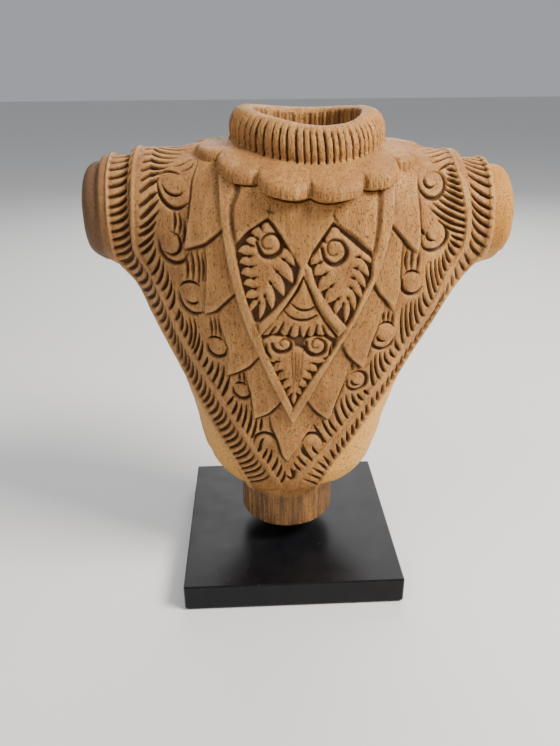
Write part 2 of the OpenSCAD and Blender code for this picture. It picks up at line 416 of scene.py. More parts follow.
# Lappets hanging beside the bib, upper ones over lower ones: outline, then its free lower edge
LAPPETS = [
    ([(-9.8, 84), (-9.8, 77), (-9, 71), (-6.5, 64), (-4.5, 56), (-2, 52.4), (-1, 55), (2, 60),
     (6.5, 68), (10, 75), (10, 84)], [(-9.9, 77), (-9.1, 71), (-6.6, 64), (-4.6, 56), (-2.2, 52.4)]),
    ([(-19.6, 106), (-19, 99.5), (-18.5, 94), (-17.2, 87), (-16.5, 80), (-16, 75.6), (-10.5, 78.2),
     (-7, 81.8), (-5, 84.5), (-2, 106)], [(-16, 75.5), (-10.5, 78.1), (-7, 81.7), (-5, 84.4)]),
    ([(-28, 134), (-28.5, 126), (-28.7, 120), (-27, 113), (-25.5, 108), (-26.5, 98), (-27, 96),
     (-22, 98.3), (-17.5, 101.3), (-13.8, 105.6), (-10, 134)], [(-27, 95.9), (-22, 98.2),
     (-17.5, 101.2), (-14, 105.4)]),
    ([(-33, 160), (-32.8, 151), (-32.5, 145), (-33, 137), (-34.4, 123.6), (-30, 125.3), (-26.5, 128.8),
     (-21.6, 133.4), (-18, 160)], [(-34.2, 123.5), (-30, 125.2), (-26.5, 128.7), (-22, 133.2)]),
    ([(-35, 196), (-35, 183), (-36.5, 176), (-37.3, 168), (-38.5, 160), (-40.6, 149.2), (-33.5, 151.3),
     (-30, 153.8), (-25.4, 157.6), (-20, 196)], [(-40.4, 149.1), (-33.5, 151.2), (-30, 153.7),
     (-25.8, 157.2)]),
    ([(23, 104), (22.5, 97), (20.5, 90), (18, 83), (16.5, 77), (15, 74.2), (12, 76.8), (9, 79.8),
     (5.8, 84.8), (5, 104)], [(15, 74.1), (12, 76.7), (9, 79.7), (6.2, 84)]),
    ([(36, 132), (34.5, 122), (33.5, 116), (31.5, 110), (30, 103), (28.5, 98.6), (25, 101.8),
     (22, 105.3), (19.8, 110), (14, 132)], [(28.5, 98.5), (25, 101.7), (22, 105.2), (20.2, 109)]),
    ([(41.5, 164), (41.3, 152), (41, 140), (41.5, 133), (39.5, 123.6), (36.5, 127.8), (33, 131.8),
     (30.4, 136.4), (24, 164)], [(39.5, 123.5), (36.5, 127.7), (33, 131.7), (30.8, 135.6)]),
    ([(48, 196), (47.5, 178), (47, 170), (47.8, 160), (48.5, 150), (47.5, 146.3), (43.5, 149.8),
     (40, 153.8), (35.8, 158.4), (30, 196)], [(47.5, 146.2), (43.5, 149.7), (40, 153.7), (36.2, 157.8)]),
]

# Scrolls: boss centre and radius, then the cut arcs round it
SCROLLS = [
    ((-43.8, 171.8), 5.4, [(-50.6, 172), (-49.6, 167.6), (-46.8, 164.4), (-43, 163.4), (-38.6, 165.8)],
     [(-48.4, 171.4), (-45.2, 168.4), (-40.6, 169.6)], [(-49.6, 175.4), (-46.4, 178.2), (-42, 177.6)]),
    ((-46.3, 150.2), 3.8, [(-51, 151.8), (-50.6, 147.6), (-48.6, 144.4), (-45.2, 142.9), (-41.8, 144),
     (-39.4, 147.4)], [(-48.9, 147.3), (-46, 146), (-43.4, 147.4), (-42.3, 150.4), (-43.4, 153.6),
     (-46, 155)]),
    ((-39.5, 130.5), 3.2, [(-44.6, 131.6), (-43.9, 127), (-41.8, 123.9), (-38.6, 122.6), (-34.4, 124)],
     [(-43.8, 133.9), (-40.2, 136), (-35.8, 134.4)], [(-42, 129), (-39.6, 126.9), (-36.8, 128.4)]),
    ((-30.7, 108.6), 2.8, [(-34.6, 110), (-34, 106.4), (-31, 104.2), (-27.6, 105.2), (-26.4, 108.4)],
     [(-34, 112), (-31, 113), (-27.8, 111.6)]),
    ((-21.3, 88.5), 2.4, [(-24.8, 90.2), (-24.4, 86.8), (-21.3, 84.6), (-18.2, 86), (-17.6, 89.4)],
     [(-24, 91.6), (-21.5, 92.4), (-19, 91.4)]),
    ((-10.8, 63.4), 3, [(-16.9, 61.6), (-15.9, 65.2), (-13, 67.4), (-9.6, 67), (-7.2, 64.6),
     (-6.2, 61)], [(-12.3, 65), (-13.6, 62), (-14.6, 58)]),
    ((53, 172.5), 4.2, [(47.6, 174), (48.4, 169.6), (51.2, 166.4), (54.8, 165.5), (58, 167.4),
     (59, 171), (57.6, 175), (54.4, 177)], [(50.4, 174.8), (50.4, 171.8), (52.4, 169.9), (55, 170.6)]),
    ((54.3, 152.3), 3.7, [(48.8, 150), (51, 147), (54.8, 145.9), (58.4, 147.4), (60.2, 151),
     (58.9, 155), (55.6, 157)], [(51.2, 153.4), (52.3, 150.6), (55.2, 149.8)], [(48.4, 155.4),
     (50.6, 152)]),
    ((46.6, 134.4), 3.1, [(42.3, 136), (42.7, 132.2), (45.4, 129.7), (48.8, 129.5), (51.2, 132)],
     [(42.8, 137.2), (46, 138.8), (49.6, 137)]),
    ((37.4, 113.4), 3, [(31.8, 111.4), (32.9, 107.8), (36.4, 105.9), (40, 107.2), (41.9, 111)],
     [(34, 112.5), (35, 110.2), (38, 109.6)], [(34.2, 116.6), (37.5, 118), (41, 115.4)]),
    ((26.8, 91.8), 2.8, [(22.7, 93), (22.9, 89.6), (26, 87.2), (30, 88.5), (31.2, 91.8), (30, 95),
     (27, 96.4), (24, 95.4)], [(24.6, 92.6), (25.4, 90.4), (28, 90)]),
    ((7.7, 62.8), 2.6, [(3.9, 63), (5.2, 65.8), (8, 66.9), (11, 65.9), (13, 63), (13.4, 59.8)],
     [(4, 60), (5, 56), (8, 52.8)]),
]

# Short cuts that make the feathered fans, each (start, bend, end) with its end the wide one
FEATHERS = [
    ((-50, 169), (-53.5, 164.8), (-57.5, 162.8)), ((-50, 165.5), (-54, 160.8), (-57.5, 158.8)),
    ((-50, 162), (-54, 157), (-58, 155.5)), ((-51.5, 158), (-54.5, 154), (-58.5, 152.5)),
    ((-52.5, 154), (-55, 150.5), (-59, 148)), ((-53, 151), (-55, 147), (-58.5, 145)),
    ((-52.5, 148), (-54, 143.5), (-56.5, 141)), ((-51, 145), (-52, 140), (-55, 136.8)),
    ((-49.8, 143), (-50.5, 137), (-53.3, 133.3)), ((-48.5, 139), (-48.7, 134), (-51.5, 131)),
    ((-47.3, 136), (-47.5, 131), (-50, 127.4)), ((-46.5, 132), (-46.5, 127), (-49, 123)),
    ((-50, 173.5), (-53, 170), (-57, 167.6)), ((-49, 177), (-52.5, 173.5), (-56.6, 171.6)),
    ((-47, 180), (-52, 177), (-56.4, 175.4)), ((-45, 184), (-50.5, 181), (-56.2, 179.2)),
    ((-43, 188), (-49.5, 185), (-56.2, 183.2)), ((-42, 192), (-48.5, 189.2), (-56.2, 187.2)),
    ((-41, 196), (-48, 193.4), (-56.2, 191.4)), ((-41, 200), (-48, 197.4), (-56.2, 195.4)),
    ((-45.3, 123.9), (-45.2, 121), (-47, 118.4)), ((-44.2, 122.8), (-44.2, 117.8), (-45.3, 113.9)),
    ((-42.6, 118.9), (-42.3, 115), (-44, 111.1)), ((-41.2, 120.6), (-40.3, 114.4), (-42.3, 107.8)),
    ((-39.2, 120.6), (-38.4, 113.9), (-41.2, 106)), ((-37.6, 113.9), (-37.8, 109.4), (-40.4, 104)),
    ((-36.4, 110.6), (-37, 105.6), (-38.7, 101)), ((-34.8, 103.3), (-35.3, 100.6), (-36.9, 98)),
    ((-32.8, 101.5), (-33.1, 97.8), (-35.3, 94.6)), ((-30.3, 101), (-30.9, 95.6), (-33.4, 91.3)),
    ((-28.1, 100), (-28.7, 93.9), (-31.2, 88.2)), ((-26, 95.6), (-27.2, 90), (-29.6, 84.8)),
    ((-24.8, 85.4), (-25.8, 83), (-27.6, 80.6)), ((-23.6, 83), (-23.8, 79), (-25.8, 76)),
    ((-21.6, 82), (-21.8, 77.2), (-23.8, 72.4)), ((-19.6, 81.5), (-19.4, 76.7), (-21.6, 69.8)),
    ((-17.4, 79), (-17.4, 73), (-19.6, 67)), ((-15.3, 75.6), (-15.6, 70.6), (-17.6, 64.4)),
    ((-13.1, 75.6), (-13.3, 72), (-13.9, 69)), ((-13.5, 61), (-14, 58.8), (-15, 57)),
    ((-11, 59), (-11.6, 56), (-13, 53.4)), ((-9, 58.5), (-9, 55), (-11, 50.6)),
    ((-6.4, 54), (-6.7, 50), (-8.8, 46.6)), ((-4.6, 50), (-5, 46), (-6.8, 42.4)),
    ((-3.2, 46), (-3, 42), (-4.8, 38.6)), ((-2.5, 43.5), (-1.4, 42), (-0.6, 40.6)),
    ((60.2, 174.2), (62.4, 172.2), (64.2, 171.4)), ((59.6, 172.3), (62.4, 169.8), (64.6, 168.9)),
    ((59.4, 170), (62.4, 167.4), (65.2, 166.4)), ((58.4, 168.6), (62, 165), (65.8, 163.9)),
    ((56.8, 167.2), (61.4, 162.8), (66.2, 161.4)), ((55, 165.8), (60.6, 160.6), (66.8, 158.9)),
    ((53.2, 164.2), (60, 158.2), (67.2, 156.4)), ((52.4, 162), (59.6, 155.8), (67.4, 153.9)),
    ((56, 157.4), (61.2, 152.8), (67.4, 151.4)), ((60.4, 176.5), (62, 174.8), (63.8, 174)),
    ((57, 176.4), (60, 178.4), (63.6, 177.4)), ((55, 181), (59, 182.4), (63.4, 181.4)),
    ((54, 185), (58.6, 186.4), (63.4, 185.6)), ((53, 189), (58, 190.4), (63.4, 189.6)),
    ((52, 193), (58, 194.4), (63.4, 193.6)), ((52, 197), (58, 198.4), (63.4, 197.6)),
    ((61.8, 151.4), (64.4, 149.4), (67.2, 148.6)), ((61.6, 149.4), (64, 147), (66.6, 145.6)),
    ((61, 148), (62.5, 145), (65, 142.6)), ((60, 145.5), (61.4, 142), (63.4, 139.6)),
    ((59.2, 143.6), (59.9, 140), (61.8, 136.6)), ((57.6, 142.8), (58.2, 138.5), (60.4, 133.6)),
    ((56, 142.3), (56.5, 137), (59.2, 130.8)), ((54, 141.5), (54.9, 135), (58.2, 128)),
    ((52.3, 139.8), (53, 133), (57, 125)), ((52, 129), (53, 125), (55.6, 122)),
    ((50.4, 127.5), (51.2, 122), (53.8, 118)), ((48.8, 126.4), (49.6, 119.6), (51.9, 115)),
    ((47, 126.2), (47.6, 118), (49.8, 112)), ((45, 125.4), (45.6, 117), (48.2, 109.4)),
    ((43.4, 123.6), (43.7, 115), (46.3, 106.6)), ((42.2, 109.4), (42.9, 106), (44.8, 103.4)),
    ((40.4, 105.2), (41, 102), (42.9, 100.4)), ((38, 104.2), (38.5, 99.6), (41, 97.2)),
    ((36, 104.4), (36.4, 98.4), (39, 94)), ((34, 103.9), (34.2, 96.6), (36.9, 91)),
    ((32.4, 101), (32.9, 94), (34.6, 88)), ((30.5, 86.4), (31.4, 84.8), (32.4, 84)),
    ((27.6, 85.2), (28.5, 82.7), (30.2, 81.2)), ((25.2, 85.4), (25.9, 81.2), (28.2, 78.8)),
    ((22.5, 85.2), (23.3, 79.8), (26, 76)), ((20.4, 84), (20.9, 78.4), (23.8, 73.2)),
    ((18, 80), (18.5, 75), (21.3, 70)), ((15.4, 74.2), (16.5, 70), (19, 67)),
    ((12.5, 74.5), (14, 69), (17, 64.4)), ((9, 71.4), (11, 67.6), (14.4, 61.4)),
    ((8.8, 60), (9.2, 57.4), (11, 55.6)), ((4.5, 61.4), (5.2, 56.6), (8.6, 52)),
    ((2.4, 55), (3.4, 51.6), (6, 49)), ((0.8, 51), (1.8, 48.2), (3.6, 46.4)),
    ((-0.6, 47.6), (0.2, 45), (1, 42)),
]
# Fine upright cuts above the scrolls
STRANDS = [
    [(-36.6, 184.5), (-38.6, 181.5), (-41.4, 179.4)], [(-38.6, 187), (-41.4, 183.6), (-44.4, 181.6)],
    [(-44.3, 163), (-44, 159), (-44.6, 155.4)], [(-42.4, 162), (-42, 158), (-42.8, 154)],
    [(-40.6, 160), (-40.4, 155), (-41.2, 151)], [(-40.8, 147), (-40.2, 142), (-40.6, 137.6)],
    [(-38.6, 149), (-38, 143), (-38.4, 137)], [(-36.4, 149.6), (-35.8, 143), (-36.2, 136)],
    [(-34.4, 148), (-34.1, 142), (-34.6, 137)], [(-32.6, 122), (-32.3, 117), (-32.4, 113.6)],
    [(-31, 123), (-30.7, 118), (-30.6, 114)], [(-29.5, 121), (-29.2, 117), (-28.6, 113.4)],
    [(-22.2, 98), (-21.9, 95), (-22, 93)], [(-20.4, 98.6), (-20.1, 96), (-20, 93)],
    [(43.5, 148), (43.2, 143), (43.8, 139.4)], [(45.8, 148), (45.8, 143), (45.8, 139.8)],
    [(48.6, 146), (48.6, 142), (48.4, 139)], [(36, 123), (36, 120), (36.2, 118.4)],
    [(38, 123.4), (38.1, 120), (38.2, 118.4)], [(39.9, 122.6), (40, 119), (40.2, 117)],
    [(25, 103), (24.6, 100), (24.8, 97.4)], [(27, 101), (27.2, 99), (27.6, 97.4)],
    [(45, 163), (46, 159), (47.4, 156)],
]

LEAF_L = [
    (-9.3, 159.6), (-12, 158), (-15.6, 155.9), (-13.4, 153.9), (-17.6, 153.2), (-15.6, 151.3),
    (-20.6, 149), (-16.5, 147.3), (-20.2, 144.8), (-16, 143.3), (-19.8, 140.6), (-15, 138.9),
    (-19, 136.6), (-14.5, 134.8), (-18.4, 131.4), (-14.2, 131), (-16.6, 125.4), (-13.2, 129.4),
    (-13.2, 122.2), (-10.9, 132), (-8.2, 126.4), (-8.6, 137), (-3.8, 131.8), (-6.1, 141.4),
    (-0.4, 136.9), (-3.6, 146), (0.4, 143.4), (-3.4, 150.6), (-6.6, 155.8),
]
LEAF_R = [
    (13.9, 157.4), (11, 152.8), (7.8, 148), (6.4, 144), (9.6, 144.6), (7.6, 139.8), (11.5, 140),
    (9.6, 133), (14, 135.3), (12.2, 128.4), (16.8, 130.4), (16.2, 123.8), (18.9, 128.2), (20, 119.8),
    (20.7, 130.4), (23.6, 125), (21.7, 134.4), (26, 129.8), (22.6, 138.2), (27.3, 133.8), (23.5, 142),
    (28.4, 138.4), (24.3, 146.3), (28.9, 143.6), (27.2, 147), (21.6, 151.8), (17, 155.6),
]
LEAF_LOW = [
    (-2.6, 109), (-6.4, 107), (-9.8, 103.8), (-6.8, 103.6), (-8.4, 99.4), (-5.4, 99.2), (-6.2, 95),
    (-3.6, 95.2), (-4.2, 90.8), (-2, 91.2), (-2.3, 87), (-0.7, 87.8), (0.3, 82.6), (1.7, 88),
    (3.4, 87.6), (3, 91.4), (5.6, 91.6), (4.8, 95.2), (7.6, 95.2), (6.6, 98.8), (9.8, 98.8),
    (8.6, 102.4), (13, 103), (9.4, 107.4), (4.6, 109), (1, 110.5),
]
PIT_L = [
    (-9.4, 161.4), (-16.6, 156.4), (-21.5, 151.3), (-20.9, 145.9), (-19.3, 136.6), (-17.5, 129.4),
    (-15, 121.6), (-13.1, 120.6), (-8.4, 125.1), (-3.4, 130.9), (0.9, 136.8), (2.3, 143), (-0.6, 148.2),
    (-3.6, 153.4), (-7.2, 159),
]
PIT_R = [
    (14.2, 159.4), (22.3, 153.6), (29, 147.9), (29.2, 138), (26, 131.6), (23, 123), (20.5, 118.5),
    (15.1, 125.1), (10.9, 131.6), (8, 136.6), (6.4, 142.3), (4.9, 144.4), (6.6, 148.7), (10.1, 153.9),
]
PIT_LOW = [
    (3.6, 140), (0.9, 135.1), (-3.4, 128), (-7.7, 121.6), (-12.5, 116), (-11.3, 109.4), (-7.7, 100.1),
    (-4.1, 91.6), (-0.1, 81.2), (5.1, 90.9), (8.7, 97.3), (11.8, 102.3), (16.8, 110.1), (17.6, 114.9),
    (12.3, 121.6), (8.7, 128), (5.7, 135.1),
]
BELL = [
    (3.6, 138.8), (1.9, 134), (-2.4, 128), (-4.4, 125.6), (-8.3, 120.6), (-12.4, 115.6), (-8, 116),
    (-5.6, 117.4), (-3.8, 115.4), (-2, 115.8), (0.4, 114.6), (2.4, 115.8), (3.8, 114.6), (5, 115.6),
    (6.8, 114.8), (8.6, 116), (11, 115), (13, 115.4), (17.3, 112.8), (12.7, 119.8), (8.6, 126.4),
    (5.5, 134),
]
HOOK_L = [
    (-12, 113.6), (-8.5, 115.3), (-3, 114.8), (0.2, 112.6), (0.6, 109.5), (-1.6, 107), (-5, 106.6),
    (-7.6, 103.2), (-9.6, 105), (-11, 109.5),
]
HOOK_R = [
    (4, 112), (5, 107.8), (9, 105.2), (13, 105), (15.6, 108), (15.2, 111.6), (12, 114.2), (8, 114.8),
    (5, 114),
]
LEAF_SPINES = [
    [(-9, 150), (-11.5, 138), (-13, 128)], [(15, 149), (18, 138), (19.4, 126)],
    [(1.6, 106), (1, 98), (0.4, 88)],
]
LEAF_CURLS = [
    [(-13.6, 152.4), (-11.6, 148), (-8, 147.2), (-4.9, 149.6), (-4.8, 153), (-7.2, 155.4),
     (-10.4, 154.8), (-11.8, 152.4), (-10.4, 150.2), (-8.4, 150.4)],
    [(10.3, 150), (11.5, 146), (15, 143.7), (18.5, 145.7), (19.4, 149), (17.3, 152.3), (13.5, 152.8),
     (12.2, 150), (13.6, 147.4), (15.8, 147.8)],
    [(-8.4, 112), (-7.6, 109.6), (-5, 108.2), (-1.8, 109.3), (-1, 112.2), (-3.4, 114), (-5.4, 112.6),
     (-4.6, 111)],
    [(5, 112.5), (5.5, 108.4), (9, 106.4), (12.2, 108.2), (12.3, 112), (9, 113.8), (7.2, 112),
     (7.8, 110), (9.4, 110)],
]
# Cuts round the bell and inside its hooks
BELL_CUTS = [
    [(-10.6, 112), (-10.6, 108.6), (-8.8, 105.6)], [(14.9, 111), (14.4, 106.4)],
    [(-1, 129), (1.4, 127), (3.6, 126.2), (6, 126.3), (7.7, 127.2)],
    [(-3.6, 126), (-1, 123.4), (2, 122.2), (5.4, 122.2), (8.8, 123.8)],
    [(-3.8, 121.4), (-4.6, 119.4), (-5.6, 116.8)], [(-0.6, 119.8), (-1.4, 117.4), (-2.1, 115)],
    [(2.2, 119.4), (2.4, 117.4), (2.5, 115)], [(6, 119), (5.4, 117), (5, 114.8)],
    [(9, 119.9), (8.8, 117.8), (8.5, 115.2)], [(11, 119.6), (11.8, 117.4), (13, 114.8)],
    [(-7, 119.6), (-8, 117.8), (-9.2, 116)],
]
CROSSING_BANDS = [
    [(3.6, 143.8), (2.3, 142.3), (0.9, 136.8), (-3.4, 130.9), (-8.4, 125.1), (-13.6, 120.3),
     (-13.2, 115.2), (-7.7, 121.4), (-3.4, 128), (0.9, 134.6), (3.2, 139.4)],
    [(4.4, 144.2), (6.6, 142.3), (8, 136.6), (10.9, 131.6), (15.1, 125.1), (20.9, 118), (17.6, 114.4),
     (12.3, 121.6), (8.7, 128), (5.9, 135.1), (4.3, 141)],
]
# The shield's lower sides and the nicks at its points
SHIELD_CUTS = [
    [(-9.5, 160), (-13.2, 158), (-17, 155.9), (-21.3, 151.6)],
    [(14.3, 159.8), (22.3, 154), (29, 148.2)], [(-8.9, 162), (-8.7, 165)],
    [(-10.4, 164.2), (-7.2, 162.8)], [(14.6, 163.6), (14.4, 161.4), (15.8, 159.2)],
]


def between(one, other):
    """Closed outline between two guide lines."""
    return smooth_path(one, 2).tolist() + smooth_path(other, 2).tolist()[::-1]


def ribbon(outer, inner, height, wall=0.45):
    set_area(between(outer, inner), height, wall)


def arc_path(points):
    """Circular arc through three points, or a smooth curve through more."""
    if len(points) != 3:
        return smooth_path(points, 0.5)
    a, b, c = (complex(*p) for p in points)
    w = (c - a) / (b - a)
    if abs(w.imag) < 0.05:
        return smooth_path(points, 0.5)
    centre = (b - a) * (w - abs(w) ** 2) / (w - w.conjugate()) + a
    start = math.atan2((a - centre).imag, (a - centre).real)
    middle = (math.atan2((b - centre).imag, (b - centre).real) - start) % (2 * math.pi)
    end = (math.atan2((c - centre).imag, (c - centre).real) - start) % (2 * math.pi)
    if middle > end:
        end -= 2 * math.pi
    angles = start + end * np.linspace(0, 1, 24)
    r = abs(a - centre)
    return np.stack([centre.real + r * np.cos(angles), centre.imag + r * np.sin(angles)], 1)


def dome(centre, radius, height):
    """Round boss."""
    c = np.array(centre, float)
    win = window(c - radius, c + radius)
    r = np.hypot(XS[win[1]][None, :] - c[0], VS[win[0]][:, None] - c[1]) / radius
    ridges[win] = np.maximum(ridges[win], height * np.sqrt(np.clip(1 - r * r, 0, 1)))


def bow(start, control, end):
    """Curve from start to end pulled towards control."""
    t = np.linspace(0, 1, 9)[:, None]
    a, b, c = (np.array(p, float) for p in (start, control, end))
    return (1 - t) ** 2 * a + 2 * t * (1 - t) * b + t * t * c


def slot_cut(path, widths=(0.35, 0.85, 1.08, 0.85), depths=(0.6, 1.5, 1.9, 1.4), power=0.8):
    """Knife cut along a path."""
    stroke(cuts, path, widths, depths, power)


def draw_apron():
    """The plain belly, the apron's rim, and the strip between the feathered band and the panel."""
    level[:] = -1.5 * (1 - ramp(VS, 138, 147))[:, None]
    ribbon(RIM_L, RIM_R, 0.1, 0.7)
    ribbon(RIM_L, BAND_L, 0.75, 0.4)
    ribbon(BAND_R, RIM_R, 0.75, 0.4)
    ribbon(STRIP_LO, STRIP_LI, 0.5, 0.4)
    ribbon(STRIP_RI, STRIP_RO, 0.6, 0.4)


def draw_feather_band():
    """Slanting cuts between the rim and the strip: placed one by one on the sleeve, evenly below it."""
    rng = np.random.default_rng(11)
    for v in (191, 187, 183, 179, 175, 171.4, 167.4, 163.6, 160.6, 157.4, 154, 150.8, 147.4, 144.2, 140.8):
        rise = 6.0 if v < 165 else 4.6
        start = (at_v(STRIP_LO, v + rise) - 0.5, v + rise)
        slot_cut(bow(start, (-62.4, v + 0.2), (at_v(BAND_L, v) + 0.2, v - 0.8)))
    v = 146.0
    while v > 41:
        top = np.array([at_v(STRIP_LO, v) - 0.7, v])
        low = v - np.interp(v, [45, 70, 110, 140], [6.5, 8.0, 9.5, 7.0]) + rng.normal(0, 0.2)
        end = np.array([at_v(BAND_L, low) + 0.4, low])
        slot_cut(bow(top, top + [-0.3, (low - v) * 0.62], end))
        v -= rng.uniform(2.75, 3.15)
    for v in (194, 190, 186, 182, 178.5, 174.5, 170, 165, 160.6, 156.9, 153.4, 149.6, 145.4, 141.4):
        start = (at_v(STRIP_RO, v + 7) + 0.5, v + 7)
        slot_cut(bow(start, (72.8, v + 1.8), (at_v(BAND_R, v) + 0.2, v - 0.6)))
    v = 143.0
    while v > 40:
        top = np.array([at_v(STRIP_RO, v) + 0.6, v])
        low = v - np.interp(v, [45, 70, 110, 140], [5.0, 6.0, 5.6, 6.2]) + rng.normal(0, 0.2)
        end = np.array([at_v(BAND_R, low) - 0.1, low])
        slot_cut(bow(top, (top + end) / 2 + [0.8, -0.6], end), (0.4, 0.8, 1.0, 0.7))
        v -= rng.uniform(2.9, 3.3)


def draw_panel():
    """Feathered fans, upright strands and scrolls."""
    for k, (a, b, c) in enumerate(FEATHERS):
        # the fans are finer below the shoulder
        w = (0.84 if c[1] < 142 else 1.0) * (1 + 0.08 * math.sin(k * 2.3))
        slot_cut(bow(a, b, c), (0.3 * w, 0.8 * w, w, 0.75 * w), (0.8, 1.8, 2.1, 1.5), 0.6)
    for path in STRANDS:
        slot_cut(smooth_path(path), (0.3, 0.7, 0.8, 0.5), (0.5, 1.2, 1.3, 0.8), 0.65)
    for centre, radius, *arcs in SCROLLS:
        for k, arc in enumerate(arcs):
            w = 1.0 if k == 0 else 0.68
            slot_cut(arc_path(arc), (0.4 * w, 0.95 * w, 1.05 * w, 0.9 * w, 0.35 * w),
                     (0.7, 1.7, 1.9, 1.6, 0.6), 0.65)
        dome(centre, radius * 0.9, 0.4)
    # shadow under the apron's left edge
    slot_cut(smooth_path([(-58.9, 117), (-55.4, 110), (-52.2, 103), (-48.4, 94.6), (-45.6, 88)]),
             (0.3, 1.0, 1.1, 0.3), (0.4, 1.1, 1.2, 0.4))
    # the dark pit at the apron's point
    slot_cut(smooth_path([(-0.6, 40), (0.6, 42.4), (1.2, 46)]), (0.5, 1.1, 0.8), (0.8, 1.7, 1.0))


def draw_lappets():
    """Each lappet rises towards its free end and covers the next one down."""
    for points, edge in LAPPETS:
        win, dist = inside(points)
        free = min(v for _, v in edge)
        lift = 0.45 + 0.85 * (1 - ramp(VS[win[0]], free + 2, free + 26))[:, None]
        t = ramp(dist, -0.2, 0.25)
        keep = ramp(dist, -0.1, 0.2)
        level[win] = level[win] * (1 - t) + lift * t
        cuts[win] *= 1 - keep
        slot_cut(smooth_path([(x, v - 0.75) for x, v in edge]), (0.5, 0.95, 0.95, 0.6), (0.6, 1.1, 1.1, 0.7))
        n = 6 if points[0][1] < 90 else len(points) // 2
        side = [(x + (-0.5 if x < 3 else 0.5), v) for x, v in points[1:n]]
        slot_cut(smooth_path(side), (0.3, 0.6, 0.5), (0.3, 0.7, 0.6))


def wipe(points):
    """Clears the cuts under an area that is carved afterwards."""
    win, dist = inside(points)
    cuts[win] *= 1 - ramp(dist, -0.1, 0.3)


def stand_up(points, height, wall=0.4):
    """Raises a motif with a slightly rounded top."""
    win, dist = inside(points)
    t = ramp(dist, -wall / 2, wall / 2)
    crown = height + 0.35 * ramp(dist, 0, 2.4)
    level[win] = level[win] * (1 - t) + crown * t
    cuts[win] *= 1 - t


def lobed(points, spine, swell):
    """Rounds the outer side of each tooth of a leaf, so that it becomes a plump lobe."""
    p = np.array(points, float)
    reach = np.array([np.linalg.norm(spine - q, axis=1).min() for q in p])
    n = len(p)
    out = []
    for k in range(n):
        a, b = p[k], p[(k + 1) % n]
        out.append(a)
        tip = k if reach[k] > reach[(k + 1) % n] else (k + 1) % n
        root = (k + 1) % n if tip == k else k
        other = (tip - 1) % n if root == (tip + 1) % n else (tip + 1) % n
        if reach[tip] > reach[other] and p[root][1] >= p[other][1] - 0.3:
            side = np.array([b[1] - a[1], a[0] - b[0]]) / (np.linalg.norm(b - a) + 1e-9)
            if side @ (p[other] - a) > 0:
                side = -side
            gain = swell * min(1.0, np.linalg.norm(b - a) / 6)
            for t in (0.2, 0.4, 0.6, 0.8):
                out.append(a + (b - a) * t + side * gain * 4 * t * (1 - t))
    return out


def draw_bib():
    """The leaf-carved bib, its border, leaves, bell and crossing bands."""
    border = between(BIB_OUT_L, BIB_OUT_R)
    field = between(BIB_IN_L, BIB_IN_R)
    wipe(border)
    set_area(border, 1.9, 0.5)
    set_area(field, 1.75, 0.4)
    for side, guide in ((1, BIB_IN_L), (-1, BIB_IN_R)):
        line = smooth_path([(x + side * 0.4, v) for x, v in guide], 1.0)
        slot_cut(line, (1.3, 1.2, 0.9, 0.5, 0.35), (0.85, 0.85, 0.8, 0.6, 0.4), 0.35)
    for pit in (PIT_L, PIT_R, PIT_LOW):
        set_area(pit, 0.15, 0.4)
        wipe(pit)
    middles = [smooth_path(m, 0.5) for m in LEAF_SPINES]
    leaves = [lobed(*leaf) for leaf in zip((LEAF_L, LEAF_R, LEAF_LOW), middles, (1.25, 1.25, 0.4))]
    for points, height in zip(leaves + [BELL, HOOK_L, HOOK_R], (1.5, 1.5, 1.35, 1.45, 1.5, 1.5)):
        stand_up(points, height)
    # curls on the leaves
    for points in LEAF_CURLS:
        slot_cut(smooth_path(points, 0.5), (0.8, 1.25, 1.1, 0.6, 0.45), (1.5, 1.8, 1.6, 1.1, 0.7), 0.65)
    for path in BELL_CUTS:
        slot_cut(smooth_path(path), (0.45, 0.7, 0.9, 0.7), (0.8, 1.3, 1.4, 1.1), 0.8)
    for x in (-0.9, 0.6, 2.1, 3.5):
        vein = smooth_path([(x, 108), (x * 0.7 + 0.4, 98), (x * 0.3 + 0.35, 89)])
        slot_cut(vein, (0.3, 0.45, 0.25), (0.3, 0.55, 0.3))
    # ribs of the leaves, from between the teeth towards the middle
    for leaf, spine in zip((LEAF_L, LEAF_R, LEAF_LOW), middles):
        for k in range(1, len(leaf) - 1):
            p = np.array(leaf[k])
            before, after = np.array(leaf[k - 1]), np.array(leaf[k + 1])
            reach, *around = (np.linalg.norm(q - spine, axis=1).min() for q in (p, before, after))
            if min(around) > reach:
                goal = spine[np.argmin(np.linalg.norm(spine - (p + [0, 3.2]), axis=1))]
                q = p + (goal - p) * min(0.45, 2.6 / (np.linalg.norm(goal - p) + 1e-6))
                slot_cut(smooth_path([q, (p + q) / 2, p]), (0.2, 0.5, 0.8), (0.25, 0.8, 1.3))
    # the two crossing bands, and the plain shield's sides and nicks
    for points in CROSSING_BANDS:
        stand_up(points, 1.85, 0.35)
    crease = smooth_path([(4.1, 142), (5.5, 136), (8.4, 129.6), (12, 123.2), (17, 116.6)])
    slot_cut(crease, (0.4, 0.5, 0.5), (0.5, 0.8, 0.8))
    for path in SHIELD_CUTS:
        slot_cut(smooth_path(path), (0.3, 0.5, 0.4), (0.4, 0.9, 0.6))


def draw_relief():
    """Height of the carving, how hollow each place is, and where the belly is bare."""
    draw_apron()
    draw_feather_band()
    draw_panel()
    draw_lappets()
    draw_bib()
    relief = level + ridges - cuts
    # how hollow each place lies; the wood's colour is darkened there by grime and painted shade
    hollow = 0.7 * (blur(relief, 9) - relief) + 0.5 * cuts
    # the sunk ground round the leaves is the darkest part of the bib: grime and painted shade
    for pit in (PIT_L, PIT_R, PIT_LOW):
        win, dist = inside(pit)
        hollow[win] += 0.5 * ramp(dist, 0, 0.5) * (1 - ramp(level[win], 0.3, 1.0))
    bare = np.ones_like(level)
    win, dist = inside(between(RIM_L, RIM_R))
    bare[win] = 1 - ramp(dist, -0.6, 0.2)
    return relief, hollow, bare * (1 - ramp(VS, 136, 146))[:, None]


